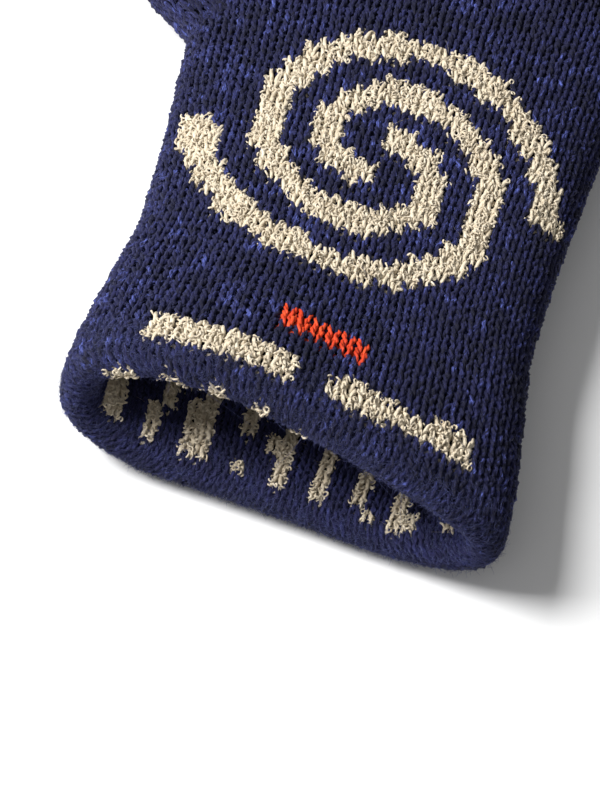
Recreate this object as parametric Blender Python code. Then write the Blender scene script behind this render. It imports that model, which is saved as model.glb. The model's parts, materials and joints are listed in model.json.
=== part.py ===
"""Knitted mitten for the right hand, lying on its palm with the back of the hand up.

+Y runs from the cuff's mouth to the fingertips, +Z is up and the thumb is at -X. The origin is on the flat
underside of the palm, half way along the mitten's length. Everything is in metres.
"""

import math

import bmesh
import bpy
from mathutils import Vector

# Driving sizes
LENGTH = 0.250
KNIT = 0.0034  # thickness of one layer of knitting
GAP = 0.0004  # clearance between neighbouring pieces
FACING_DEPTH = 0.046  # how far the cuff is turned in
ROLL = 0.0042  # length of the rounded turn at the rim
SEAM_HALF = 0.0013  # half the width of a linked side seam
SECTION_POWER = 2.6  # roundness of the tube's cross-section
FLAT_SHARE = 1.12  # how much deeper the underside would be if the floor did not flatten it

# Distance from the rim, half width and height of the hand tube
STATIONS = (
    (0.000, 0.0470, 0.0390),
    (0.015, 0.0462, 0.0360),
    (0.045, 0.0425, 0.0300),
    (0.072, 0.0435, 0.0270),
    (0.110, 0.0470, 0.0265),
    (0.150, 0.0500, 0.0265),
    (0.190, 0.0500, 0.0250),
    (0.250, 0.0500, 0.0210),
)
TIP_START = 0.186  # where the fingertips begin to round off
TIP_POWER = 2.3
TIP_CAP = 0.0035  # length of the linked closing at the fingertips
TIP_OVER = 0.0012  # how far beyond the end a tip's rounding would meet
TIP_HEIGHT = 0.42  # share of the height left at a tip
CAP_BEND, CAP_INSET = 0.6, 0.0012  # where a linked closing turns in, and by how much

# The mouth's slouch: the back droops and reaches forward towards the outer side
MOUTH_REACH = 0.075  # distance from the rim over which it fades out
MOUTH_HEIGHT = 0.038
MOUTH_BACK = 0.0055  # how far the back's thumb side lies behind the palm at the rim
MOUTH_SKEW = 0.0065  # how far its outer side reaches ahead of its thumb side
MOUTH_LEAD = 0.0025  # how far the palm's rim lies ahead
MOUTH_DROOP = 0.22  # share of the height lost at the outer side
MOUTH_SIDES = (-0.018, 0.042)  # where along X the droop begins and ends

# Folds: place along Y and how far each side may close, in degrees
RIM_Y = -LENGTH / 2
TIP_Y = LENGTH / 2
WRIST_Y = RIM_Y + 0.072
KNUCKLE_Y = RIM_Y + 0.166
WRIST_UP, WRIST_DOWN = 60.0, 45.0
KNUCKLE_UP, KNUCKLE_DOWN = 30.0, 70.0
THUMB_UP, THUMB_DOWN = 30.0, 45.0
FOLD_GAP = 0.0018  # half the gap at a fold's own axis
FOLD_Z = 0.0132  # height of every fold's axis
FOLD_SLACK = 0.0006  # clearance between a fold's fabric and the panels' edges
FOLD_INSETS = (0.0007, KNIT - 0.0004)  # its outer and inner face, from the panels' outer face

# Thumb
THUMB_X = -0.0410  # plane where the thumb leaves the hand
THUMB_Y = -0.0085  # middle of the thumb's base
THUMB_ANGLE = math.radians(50.0)  # from +Y towards -X
THUMB_LENGTH = 0.063
THUMB_HALF = 0.0180
THUMB_BASE_HEIGHT = 0.0190
THUMB_HEIGHT = 0.0235
THUMB_ROUND = 0.038  # where the thumb's tip begins to round off
THUMB_POWER = 2.2
THUMB_CAP = 0.0030
THUMB_RISE = 0.020  # length over which the thumb reaches its full height
THUMB_NARROWING = 0.0015  # how much its half width falls
THUMB_NARROWS = (0.020, 0.050)  # between these places
THUMB_TURN = 0.024  # length over which the skewed base turns square to the thumb
OPENING_Y = (-0.0345, 0.0250)
CUTTER_REACH, CUTTER_SIDE = 0.03, -0.09  # how far the opening's cutter stands out of the hand

# Contrast yarn
HEM = 0.0022  # length and height of the hem's stitches
INLAY = 0.0009  # thickness of the yarn on the back
SPIRAL_X, SPIRAL_Y = 0.0, WRIST_Y  # a plain spiral of two equal arms about this centre
SPIRAL_START = 0.0045  # radius at which both arms begin
SPIRAL_PITCH = 0.026  # how much further out an arm is after each turn
SPIRAL_TURNS = 1.25
ARM_HALF = 0.0032  # half an arm's width
ARM_STARTS = {"first_arm": 0, "second_arm": 180}  # degrees clockwise from +Y
ARM_MARCH = 8  # degrees between the inlays' cross-sections
INLAY_ACROSS = 4  # steps across an inlay
INLAY_REACH = 0.0112  # keeps the inlays off the wrist's crease
INLAY_SIDE = 0.036  # and off the rounded sides
BAR_Y, BAR_HALF, BAR_TALL = RIM_Y + 0.0225, 0.0090, 0.0048  # the bright bar below the spiral
BAND_Y, BAND_TALL = RIM_Y + 0.0110, 0.0064  # the straight bands along the rim
BAND_SPANS = {"thumb_side": (-0.0040, -0.0305), "outer_side": (0.0040, 0.0305)}

# Mesh densities
ARC_STEPS = 18
THUMB_ARC_STEPS = 12
FOLD_ARC_STEPS = 40

NAVY = (0.026, 0.026, 0.105)
NAVY_FACING = (0.022, 0.022, 0.085)
NAVY_SEAM = (0.030, 0.030, 0.130)
NATURAL = (0.660, 0.590, 0.450)
VERMILION = (0.600, 0.070, 0.020)


def smooth(x, low, high):
    t = min(1.0, max(0.0, (x - low) / (high - low)))
    return t * t * (3 - 2 * t)


def rounded(x, start, end, power):
    """1 before start, then a superellipse's quarter down to 0 at end."""
    t = min(1.0, max(0.0, (x - start) / (end - start)))
    return (1 - t**power) ** (1 / power)


def size_at(y):
    """Half width and height of the hand tube."""
    along = y - RIM_Y
    for low, high in zip(STATIONS, STATIONS[1:]):
        if along <= high[0]:
            break
    share = smooth(along, low[0], high[0])
    half, tall = (low[i] + (high[i] - low[i]) * share for i in (1, 2))
    taper = rounded(along, TIP_START, LENGTH + TIP_OVER, TIP_POWER)
    return half * taper, tall * (TIP_HEIGHT + (1 - TIP_HEIGHT) * taper)


def section(half, tall, middle, angle, inset):
    """A point on a flattened tube's section: width across, then height."""
    power = 2 / SECTION_POWER
    reach = tall / 2 - inset
    across = math.copysign(abs(math.cos(angle)) ** power, math.cos(angle)) * (half - inset)
    rise = abs(math.sin(angle)) ** power
    if math.sin(angle) < 0:
        rise = -min(1.0, rise * FLAT_SHARE)
    return across, middle + reach * rise


def hand_point(y, angle, inset):
    half, tall = size_at(y)
    across, height = section(half, tall, tall / 2, angle, inset)
    return Vector((across, y, height))


def side_angle(half_height, offset):
    """The angle at which the section is this far above its middle."""
    return math.asin((offset / half_height) ** (SECTION_POWER / 2))


def fold_edge(height, up, down, gap=FOLD_GAP):
    """Distance from a fold's plane to the fabric's edge, so that neither side meets when it closes."""
    turn = up if height > FOLD_Z else down
    return gap + abs(height - FOLD_Z) * math.tan(math.radians(turn / 2))


def new_object(name, bm, colour, roughness=0.9):
    bmesh.ops.recalc_face_normals(bm, faces=bm.faces)
    mesh = bpy.data.meshes.new(name)
    bm.to_mesh(mesh)
    bm.free()
    mesh.shade_smooth()
    mesh.set_sharp_from_angle(angle=math.radians(50))
    obj = bpy.data.objects.new(name, mesh)
    bpy.context.scene.collection.objects.link(obj)
    material = bpy.data.materials.new(name + "_knit")
    material.use_nodes = True
    shader = material.node_tree.nodes["Principled BSDF"]
    shader.inputs["Base Color"].default_value = (*colour, 1)
    shader.inputs["Roughness"].default_value = roughness
    shader.inputs["Metallic"].default_value = 0
    material.diffuse_color = (*colour, 1)
    mesh.materials.append(material)
    return obj


def grid_solid(name, rows, colour, closed=False):
    """A closed solid from rows of points round it; closed joins the last row to the first."""
    bm = bmesh.new()
    loops = [[bm.verts.new(point) for point in row] for row in rows]
    count = len(loops[0])
    pairs = list(zip(loops, loops[1:])) + ([(loops[-1], loops[0])] if closed else [])
    for near, far in pairs:
        for i in range(count):
            j = (i + 1) % count
            bm.faces.new((near[i], near[j], far[j], far[i]))
    if not closed:
        cap(bm, loops[0])
        cap(bm, loops[-1])
    return new_object(name, bm, colour)


def cap(bm, loop):
    """Closes a thin strip's end with a row of quads, from the outer half of its loop to the inner half."""
    half = len(loop) // 2
    for i in range(half - 1):
        bm.faces.new((loop[i], loop[i + 1], loop[-2 - i], loop[-1 - i]))


def spread(low, high, count):
    return [low + (high - low) * i / count for i in range(count + 1)]


def eased(low, high, count, ease):
    return [low + (high - low) * (1 - (1 - i / count) ** ease) for i in range(count + 1)]


def strip(point, edges, angles, insets, places):
    """Rows of a thin curved sheet: out along the arc on the outer face and back on the inner one."""
    rows = []
    for place in places:
        outer, inner = [], []
        for angle in angles(place):
            outer.append(point(edges, place, angle, insets[0]))
            inner.append(point(edges, place, angle, insets[1]))
        rows.append(outer + inner[::-1])
    return rows


def hand_strip_point(edges, place, angle, inset):
    """A point on the hand tube, a share of the way between two fold edges or plain ends."""
    low, high = edges
    height = hand_point(low[0] + (high[0] - low[0]) * place, angle, inset).z
    start = low[0] + (fold_edge(height, *low[1]) if low[1] else 0)
    end = high[0] - (fold_edge(height, *high[1]) if high[1] else 0)
    return hand_point(start + (end - start) * place, angle, inset)


def back_angles(edges, offset):
    def angles(place):
        y = edges[0][0] + (edges[1][0] - edges[0][0]) * place
        turn = side_angle(size_at(y)[1] / 2, offset)
        return spread(turn, math.pi - turn, ARC_STEPS)

    return angles


def palm_angles(edges, offset):
    back = back_angles(edges, offset)
    return lambda place: [angle + math.pi for angle in back(place)]


def seam_angles(edges, side):
    def angles(place):
        y = edges[0][0] + (edges[1][0] - edges[0][0]) * place
        turn = side_angle(size_at(y)[1] / 2, SEAM_HALF)
        middle = 0 if side > 0 else math.pi
        return [middle - turn, middle, middle + turn]

    return angles


def zone(prefix, low, high, count, ease=1.0, names=("outer_seam", "thumb_side_seam")):
    """The back and palm panels of one stretch of the hand tube, and its two linked side seams."""
    edges = (low, high)
    places = eased(0, 1, count, ease)
    insets = (0, KNIT)
    offset = SEAM_HALF + GAP
    made = {}
    for name, angles in (("back_panel", back_angles), ("palm_panel", palm_angles)):
        rows = strip(hand_strip_point, edges, angles(edges, offset), insets, places)
        made[name] = grid_solid(f"{prefix}_{name}", rows, NAVY)
    for name, side in zip(names, (1, -1)):
        if name:
            side_seam(f"{prefix}_{name}", low, high, places, side)
    return made


def side_seam(name, low, high, places, side):
    rows = strip(hand_strip_point, (low, high), seam_angles((low, high), side), (0, KNIT), places)
    return grid_solid(name, rows, NAVY_SEAM)


def facing(name, angles):
    """The cuff's turned-in layer, with the rounded turn that closes the rim."""
    lining = (KNIT + GAP, 2 * KNIT + GAP)
    depth = lining[1]
    turn_steps = 6
    profile = [(RIM_Y + ROLL, 0.0)]
    for i in range(1, turn_steps):
        around = math.pi * i / turn_steps
        profile.append((RIM_Y + ROLL * (1 - math.sin(around)), depth / 2 * (1 - math.cos(around))))
    profile.append((RIM_Y + ROLL, depth))
    inside = spread(RIM_Y + ROLL, RIM_Y + FACING_DEPTH, 5)
    profile += [(y, depth) for y in inside[1:]]
    profile += [(y, lining[0]) for y in inside[::-1]]
    rows = []
    for angle in angles:
        rows.append([hand_point(y, angle, inset) for y, inset in profile])
    bm = bmesh.new()
    loops = [[bm.verts.new(point) for point in row] for row in rows]
    count = len(profile)
    for near, far in zip(loops, loops[1:]):
        for i in range(count):
            j = (i + 1) % count
            bm.faces.new((near[i], near[j], far[j], far[i]))
    for loop in (loops[0], loops[-1]):
        bm.faces.new(loop)
    bmesh.ops.triangulate(bm, faces=[f for f in bm.faces if len(f.verts) > 4])
    return new_object(name, bm, NAVY_FACING)


def ring(name, low, high, inset_pair, colour, steps=FOLD_ARC_STEPS):
    """A closed band of fabric round the hand tube, between two edges given as functions of height."""
    rows = []
    for i in range(steps):
        angle = 2 * math.pi * i / steps
        middle = (low(0) + high(0)) / 2
        outer = hand_point(middle, angle, inset_pair[0])
        inner = hand_point(middle, angle, inset_pair[1])
        rows.append(
            [
                hand_point(low(outer.z), angle, inset_pair[0]),
                hand_point(high(outer.z), angle, inset_pair[0]),
                hand_point(high(inner.z), angle, inset_pair[1]),
                hand_point(low(inner.z), angle, inset_pair[1]),
            ]
        )
    return grid_solid(name, rows, colour, closed=True)


def fold_band(name, y, up, down):
    """The fabric that creases at a fold, a little inside the panels that it joins."""
    return ring(
        name,
        lambda z: y - fold_edge(z, up, down) + FOLD_SLACK,
        lambda z: y + fold_edge(z, up, down) - FOLD_SLACK,
        FOLD_INSETS,
        NAVY,
    )


def thumb_size(along):
    taper = rounded(along, THUMB_ROUND, THUMB_LENGTH + TIP_OVER, THUMB_POWER)
    half = THUMB_HALF - THUMB_NARROWING * smooth(along, *THUMB_NARROWS)
    tall = THUMB_BASE_HEIGHT + (THUMB_HEIGHT - THUMB_BASE_HEIGHT) * smooth(along, 0, THUMB_RISE)
    return half * taper, tall * (TIP_HEIGHT + (1 - TIP_HEIGHT) * taper)


def thumb_point(along, angle, inset):
    half, tall = thumb_size(along)
    middle = FOLD_Z + (tall / 2 - FOLD_Z) * smooth(along, 0, THUMB_RISE)
    across, height = section(half, tall, middle, angle, inset)
    axis = Vector((-math.sin(THUMB_ANGLE), math.cos(THUMB_ANGLE), 0))
    square = Vector((math.cos(THUMB_ANGLE), math.sin(THUMB_ANGLE), 0))
    skewed = Vector((0, 1 / math.sin(THUMB_ANGLE), 0))
    width = skewed.lerp(square, smooth(along, 0, THUMB_TURN))
    place = Vector((THUMB_X, THUMB_Y, 0)) + axis * along + width * across
    place.z = height
    return place


def thumb_strip_point(edges, place, angle, inset):
    height = thumb_point(0, angle, inset).z
    start = fold_edge(height, THUMB_UP, THUMB_DOWN) / math.sin(THUMB_ANGLE)
    return thumb_point(start + (edges[1] - start) * place, angle, inset)


def thumb():
    edges = (0, THUMB_LENGTH - THUMB_CAP)
    places = eased(0, 1, 9, 1.35)
    insets = (0, KNIT)

    def turn_at(place, offset):
        return side_angle(thumb_size(edges[1] * place)[1] / 2, offset)

    def back(place):
        turn = turn_at(place, SEAM_HALF + GAP)
        return spread(turn, math.pi - turn, THUMB_ARC_STEPS)

    def palm(place):
        return [angle + math.pi for angle in back(place)]

    def seam(middle):
        def angles(place):
            turn = turn_at(place, SEAM_HALF)
            return [middle - turn, middle, middle + turn]

        return angles

    for name, angles, colour in (
        ("thumb_back_panel", back, NAVY),
        ("thumb_palm_panel", palm, NAVY),
        ("thumb_inner_seam", seam(0), NAVY_SEAM),
        ("thumb_outer_seam", seam(math.pi), NAVY_SEAM),
    ):
        grid_solid(name, strip(thumb_strip_point, edges, angles, insets, places), colour)


def end_cap(name, point, start, end, steps):
    """The linked closing at a tip: a low dome on the end of a tube."""
    bm = bmesh.new()
    angles = [2 * math.pi * i / steps for i in range(steps)]
    loops = []
    bend = start + (end - start) * CAP_BEND
    for place, inset in ((start, 0.0), (bend, 0.0), (end, CAP_INSET)):
        loops.append([bm.verts.new(point(place, angle, inset)) for angle in angles])
    for near, far in zip(loops, loops[1:]):
        for i in range(steps):
            j = (i + 1) % steps
            bm.faces.new((near[i], near[j], far[j], far[i]))
    for loop in (loops[0], loops[-1]):
        bm.faces.new(loop)
    bmesh.ops.triangulate(bm, faces=[f for f in bm.faces if len(f.verts) > 4])
    return new_object(name, bm, NAVY_SEAM)


def thumb_cutter():
    """What the thumb's opening takes out of the hand's side, a wedge that widens above and below the fold."""
    top, bottom = FOLD_Z + CUTTER_REACH, FOLD_Z - CUTTER_REACH
    outline = [(CUTTER_SIDE, bottom), (CUTTER_SIDE, top)]
    outline += [(THUMB_X + fold_edge(z, THUMB_UP, THUMB_DOWN), z) for z in (top, FOLD_Z, bottom)]
    bm = bmesh.new()
    near = [bm.verts.new((x, OPENING_Y[0], z)) for x, z in outline]
    far = [bm.verts.new((x, OPENING_Y[1], z)) for x, z in outline]
    for i in range(len(outline)):
        j = (i + 1) % len(outline)
        bm.faces.new((near[i], near[j], far[j], far[i]))
    bm.faces.new(near)
    bm.faces.new(far)
    cutter = new_object("thumb_opening_cutter", bm, NAVY)
    cutter.hide_render = True
    cutter.display_type = "WIRE"
    return cutter


def cut(obj, cutter):
    modifier = obj.modifiers.new("thumb_opening", "BOOLEAN")
    modifier.operation = "DIFFERENCE"
    modifier.solver = "EXACT"
    modifier.object = cutter


def thumb_gusset():
    """The fabric that creases where the thumb meets the hand."""
    rows = []
    for i in range(FOLD_ARC_STEPS):
        angle = 2 * math.pi * i / FOLD_ARC_STEPS
        hand_side, thumb_side = [], []
        for inset in FOLD_INSETS:
            base = thumb_point(0, angle, inset)
            reach = fold_edge(base.z, THUMB_UP, THUMB_DOWN) - FOLD_SLACK
            hand_side.append(Vector((THUMB_X + reach, base.y, base.z)))
            thumb_side.append(thumb_point(reach / math.sin(THUMB_ANGLE), angle, inset))
        rows.append(hand_side[:1] + thumb_side + hand_side[1:])
    return grid_solid("thumb_gusset", rows, NAVY, closed=True)


def back_height(x, y):
    half, tall = size_at(y)
    share = min(1.0, abs(x) / half)
    return tall / 2 * (1 + (1 - share**SECTION_POWER) ** (1 / SECTION_POWER))


def inlay(bm, path):
    """A flat ribbon of contrast yarn on the back, from places (x, y), directions and half widths."""
    across = spread(-1, 1, INLAY_ACROSS)
    around = [(side, GAP) for side in across] + [(side, GAP + INLAY) for side in reversed(across)]
    rows = []
    for (x, y), (dx, dy), half in path:
        row = []
        for side, lift in around:
            px, py = x - dy * half * side, y + dx * half * side
            row.append(bm.verts.new((px, py, back_height(px, py) + lift)))
        rows.append(row)
    for near, far in zip(rows, rows[1:]):
        for i in range(len(around)):
            j = (i + 1) % len(around)
            bm.faces.new((near[i], near[j], far[j], far[i]))
    for row in (rows[0], rows[-1]):
        bm.faces.new(row)


def place_on(turn, start):
    """A place on the arm that starts at this bearing, after this many degrees of turn."""
    radius = SPIRAL_START + SPIRAL_PITCH * turn / 360
    around = math.radians(start + turn)
    return SPIRAL_X + radius * math.sin(around), SPIRAL_Y + radius * math.cos(around)


def spiral_path(start, keep):
    """The stretches of one arm that lie where keep says, each a list for inlay."""
    stretches, current = [], []
    for turn in range(0, int(360 * SPIRAL_TURNS) + 1, ARM_MARCH):
        here, ahead = (place_on(t, start) for t in (turn, turn + 1))
        direction = (Vector(ahead) - Vector(here)).normalized()
        if keep(*here):
            current.append((here, tuple(direction), ARM_HALF))
        elif current:
            stretches.append(current)
            current = []
    stretches.append(current)
    return [stretch for stretch in stretches if len(stretch) > 1]


def spiral_inlays():
    """The spiral's arms, in stretches that stop short of the wrist's crease and of the sides."""

    def on_cuff(x, y):
        return y < WRIST_Y - INLAY_REACH and abs(x) < INLAY_SIDE

    def on_hand(x, y):
        return y > WRIST_Y + INLAY_REACH and abs(x) < INLAY_SIDE

    for arm_name, start in ARM_STARTS.items():
        for side, keep in (("cuff", on_cuff), ("hand", on_hand)):
            for number, stretch in enumerate(spiral_path(start, keep), 1):
                bm = bmesh.new()
                inlay(bm, stretch)
                new_object(f"{side}_spiral_{arm_name}_{number}", bm, NATURAL)


def straight_inlay(name, span, y, tall, colour):
    """A straight band of contrast yarn across the back."""
    ahead = (math.copysign(1, span[1] - span[0]), 0)
    bm = bmesh.new()
    inlay(bm, [((x, y), ahead, tall / 2) for x in spread(*span, 10)])
    new_object(name, bm, colour)


def straight_inlays():
    """The bright bar below the spiral, and the bands along the rim, one each side of the middle."""
    straight_inlay("bright_bar", (-BAR_HALF, BAR_HALF), BAR_Y, BAR_TALL, VERMILION)
    for name, span in BAND_SPANS.items():
        straight_inlay(f"rim_band_{name}", span, BAND_Y, BAND_TALL, NATURAL)


def hem_stitching():
    """The yarn that holds the turned-in edge, on the inner face of the facing."""
    bounds = (RIM_Y + FACING_DEPTH + GAP, RIM_Y + FACING_DEPTH + HEM)
    insets = (KNIT + GAP, KNIT + HEM)
    return ring("hem_stitching", lambda z: bounds[0], lambda z: bounds[1], insets, NATURAL)


def slouch(point):
    """Moves a point of the finished mitten as the mouth's slouch does."""
    fade = 1 - smooth(point.y - RIM_Y, 0, MOUTH_REACH)
    outer = smooth(point.x, *MOUTH_SIDES)
    point.y += fade * (point.z / MOUTH_HEIGHT * (MOUTH_BACK - MOUTH_SKEW * outer) - MOUTH_LEAD)
    point.z *= 1 - MOUTH_DROOP * outer * fade


def build():
    for obj in list(bpy.data.objects):
        bpy.data.objects.remove(obj)
    wrist = (WRIST_UP, WRIST_DOWN)
    knuckle = (KNUCKLE_UP, KNUCKLE_DOWN)
    rim = (RIM_Y + ROLL + GAP, None)
    zone("cuff", rim, (WRIST_Y, wrist), 7)
    offset = SEAM_HALF / 2 + GAP
    turn = side_angle(size_at(RIM_Y)[1] / 2, offset)
    facing("cuff_back_facing", spread(turn, math.pi - turn, 16))
    facing("cuff_palm_facing", spread(math.pi + turn, 2 * math.pi - turn, 16))
    hem_stitching()
    hand = zone("hand", (WRIST_Y, wrist), (KNUCKLE_Y, knuckle), 8, names=("outer_seam", None))
    opening = [(y + side * GAP, None) for y, side in zip(OPENING_Y, (-1, 1))]
    side_seam("wrist_thumb_side_seam", (WRIST_Y, wrist), opening[0], spread(0, 1, 2), -1)
    side_seam("hand_thumb_side_seam", opening[1], (KNUCKLE_Y, knuckle), spread(0, 1, 2), -1)
    cutter = thumb_cutter()
    cut(hand["back_panel"], cutter)
    cut(hand["palm_panel"], cutter)
    zone("finger", (KNUCKLE_Y, knuckle), (TIP_Y - TIP_CAP, None), 11, 1.5)
    end_cap("fingertip_linking", hand_point, TIP_Y - TIP_CAP + GAP, TIP_Y, 28)
    fold_band("wrist_fold", WRIST_Y, *wrist)
    fold_band("knuckle_fold", KNUCKLE_Y, *knuckle)
    thumb()
    thumb_gusset()
    end_cap("thumb_tip_linking", thumb_point, THUMB_LENGTH - THUMB_CAP + GAP, THUMB_LENGTH, 20)
    spiral_inlays()
    straight_inlays()
    for obj in bpy.data.objects:
        for vertex in obj.data.vertices:
            slouch(vertex.co)


build()
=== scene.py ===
"""Looks of the knitted mitten: every stitch is a loop of yarn on a table of points for the fabric's surface.

Units are metres, in the CAD's frame: +Y from the cuff's mouth to the fingertips, +Z up, thumb at -X.
"""

import json
import math

import bpy
import numpy as np
from mathutils import Matrix, Vector


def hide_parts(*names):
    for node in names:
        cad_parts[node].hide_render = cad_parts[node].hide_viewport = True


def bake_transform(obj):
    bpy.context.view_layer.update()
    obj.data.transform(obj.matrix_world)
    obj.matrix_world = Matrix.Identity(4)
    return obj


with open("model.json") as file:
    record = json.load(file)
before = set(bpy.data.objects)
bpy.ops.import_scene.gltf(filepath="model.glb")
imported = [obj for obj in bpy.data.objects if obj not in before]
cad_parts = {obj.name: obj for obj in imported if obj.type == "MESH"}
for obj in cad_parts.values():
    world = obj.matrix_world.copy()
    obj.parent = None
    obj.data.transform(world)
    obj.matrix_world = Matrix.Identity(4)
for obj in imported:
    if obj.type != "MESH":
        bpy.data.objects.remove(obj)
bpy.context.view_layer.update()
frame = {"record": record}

# ---------------------------------------------------------------- the mitten's driving sizes
RIM_Y = -0.125
LENGTH = 0.250
JOINTS = {joint["name"]: Vector(joint["pos_m"]) for joint in frame["record"]["behaviour"]["joints"]}
WRIST = JOINTS["wrist_bend"]
THUMB_ROOT = JOINTS["thumb_bend"]

# Distance from the rim, half width and height of the hand tube's outside
STATIONS = np.array(
    [
        (-0.010, 0.0472, 0.0385),
        (0.000, 0.0472, 0.0385),
        (0.015, 0.0462, 0.0355),
        (0.045, 0.0420, 0.0300),
        (0.072, 0.0433, 0.0270),
        (0.110, 0.0470, 0.0265),
        (0.150, 0.0500, 0.0265),
        (0.190, 0.0500, 0.0250),
        (0.260, 0.0500, 0.0210),
    ]
)
SECTION_POWER = 2.6
FLAT_SHARE = 1.12
TIP_START, TIP_POWER = 0.186, 2.3
TIP_SHUTS, THUMB_SHUTS = (0.2360, 0.2490), (0.0530, 0.0625)  # where back and palm come together
TIP_SHUT = 0.93  # share of the height lost there
TIP_HEIGHT = 0.30  # share of the height that a tip's rounding leaves

WALE = 0.0032  # width of a stitch
COURSE = 0.00238  # height of a row
WALES = 32  # stitches across the back, and as many across the palm
LAYER = 0.0015  # from the fabric's outer face to the middle of its yarn
ROLL = 0.0032  # radius of the turn at the rim
FACING = 0.046  # depth of the turned-in layer

# The mouth's slouch: the back droops and reaches forward towards the outer side
MOUTH_REACH = 0.075  # how far up the mitten it fades out
MOUTH_HEIGHT = 0.038
MOUTH_BACK = 0.0055  # how far the back's thumb side lies behind the palm at the rim
MOUTH_SKEW = 0.0065  # how far its outer side reaches ahead of its thumb side
MOUTH_LEAD = 0.0025  # how far the palm's rim lies ahead
MOUTH_DROOP = 0.22  # share of the height lost at the outer side
MOUTH_SIDES = (-0.018, 0.042)  # where along X the droop begins and ends

THUMB_ANGLE = math.radians(50)
THUMB_LENGTH = 0.0635
THUMB_HALF = 0.0180
THUMB_WALES = 15
THUMB_ROUND = 0.036  # where the thumb's tip begins to round off
THUMB_NARROWING = 0.0015
THUMB_BASE_HEIGHT, THUMB_SWELL = 0.0195, 0.0040  # its height at the hand, and what it gains
THUMB_RISE = 0.020  # length over which it gains it
THUMB_TURN = 0.024  # length over which its skewed base turns square

rng = np.random.default_rng(20)


def smooth(x, low, high):
    t = np.clip((x - low) / (high - low), 0, 1)
    return t * t * (3 - 2 * t)


def waves(x, y, length, seed, count=7):
    """Smooth noise from -1 to 1: a sum of sine waves about this long, in seeded directions."""
    draw = np.random.default_rng(seed)
    total = 0
    for _ in range(count):
        around = draw.uniform(0, 2 * math.pi)
        turns = 2 * math.pi / (length * draw.uniform(0.7, 1.5))
        total = total + np.sin((x * math.cos(around) + y * math.sin(around)) * turns + draw.uniform(0, 6.3))
    return total / count * 1.6


# ---------------------------------------------------------------- the fabric's surface
def section(half, tall, middle, angle, inset):
    """Points on a flattened tube's section: width across, then height."""
    power = 2 / SECTION_POWER
    across = np.sign(np.cos(angle)) * np.abs(np.cos(angle)) ** power * (half - inset)
    rise = np.sign(np.sin(angle)) * np.abs(np.sin(angle)) ** power
    rise = np.where(rise < 0, np.maximum(-1, rise * FLAT_SHARE), rise)
    return across, middle + (tall / 2 - inset) * rise


class Cloth:
    """A tube of fabric as a table of points: rows along the tube, columns round it.

    Columns run from the thumb side over the back (share 0 to 0.5) and home across the palm (0.5 to 1).
    """

    def __init__(self, start, step, points):
        self.start, self.step = start, step
        self.points = points
        along = np.gradient(points, axis=0)
        joined = np.concatenate([points[:, -2:-1], points, points[:, 1:2]], axis=1)
        around = np.gradient(joined, axis=1)[:, 1:-1]
        normals = np.cross(around, along)
        self.normals = normals / (np.linalg.norm(normals, axis=2, keepdims=True) + 1e-12)
        half = points.shape[1] // 2
        self.arcs = np.linalg.norm(np.diff(points[:, : half + 1], axis=1), axis=2).sum(1)

    def at(self, share, along, lift):
        """Points this far above the fabric's middle, and the fabric's normals there."""
        rows, columns = self.points.shape[:2]
        r = np.clip((along - self.start) / self.step, 0, rows - 1.001)
        c = (share % 1.0) * (columns - 1)
        i, j = r.astype(int), c.astype(int)
        u, v = (r - i)[:, None], (c - j)[:, None]
        j = np.minimum(j, columns - 2)
        weights = (((0, 0), (1 - u) * (1 - v)), ((0, 1), (1 - u) * v), ((1, 0), u * (1 - v)), ((1, 1), u * v))
        point = sum(self.points[i + a, j + b] * w for (a, b), w in weights)
        normal = sum(self.normals[i + a, j + b] * w for (a, b), w in weights)
        normal /= np.linalg.norm(normal, axis=1, keepdims=True) + 1e-12
        return point + normal * np.asarray(lift)[:, None], normal

    def axes(self, share, along):
        """The fabric's directions at a place: round the tube, up the tube, and out of it."""
        flat = np.zeros(len(share))
        ahead, normal = self.at(share + 0.002, along, flat)
        behind, _ = self.at(share - 0.002, along, flat)
        around = ahead - behind
        around -= normal * (around * normal).sum(1, keepdims=True)
        around /= np.linalg.norm(around, axis=1, keepdims=True) + 1e-12
        return around, np.cross(normal, around), normal

    def arc(self, along):
        """Width of the back, measured over the fabric."""
        rows = np.arange(len(self.arcs)) * self.step + self.start
        return np.interp(along, rows, self.arcs)


def even_columns(points, count):
    """Re-reads each half of every row at equal distances along it."""
    out = []
    for row in points:
        halves = []
        for half in (row[: len(row) // 2 + 1], row[len(row) // 2 :]):
            run = np.concatenate([[0], np.cumsum(np.linalg.norm(np.diff(half, axis=0), axis=1))])
            places = np.linspace(0, run[-1], count + 1)
            halves.append(np.stack([np.interp(places, run, half[:, k]) for k in range(3)], axis=1))
        out.append(np.concatenate([halves[0], halves[1][1:]]))
    return np.array(out)


def hand_size(along):
    half = np.interp(along, STATIONS[:, 0], STATIONS[:, 1])
    tall = np.interp(along, STATIONS[:, 0], STATIONS[:, 2])
    t = np.clip((along - TIP_START) / (LENGTH - TIP_START), 0, 1)
    taper = np.maximum(1 - t**TIP_POWER, 0) ** (1 / TIP_POWER)
    return half, tall, taper


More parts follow.
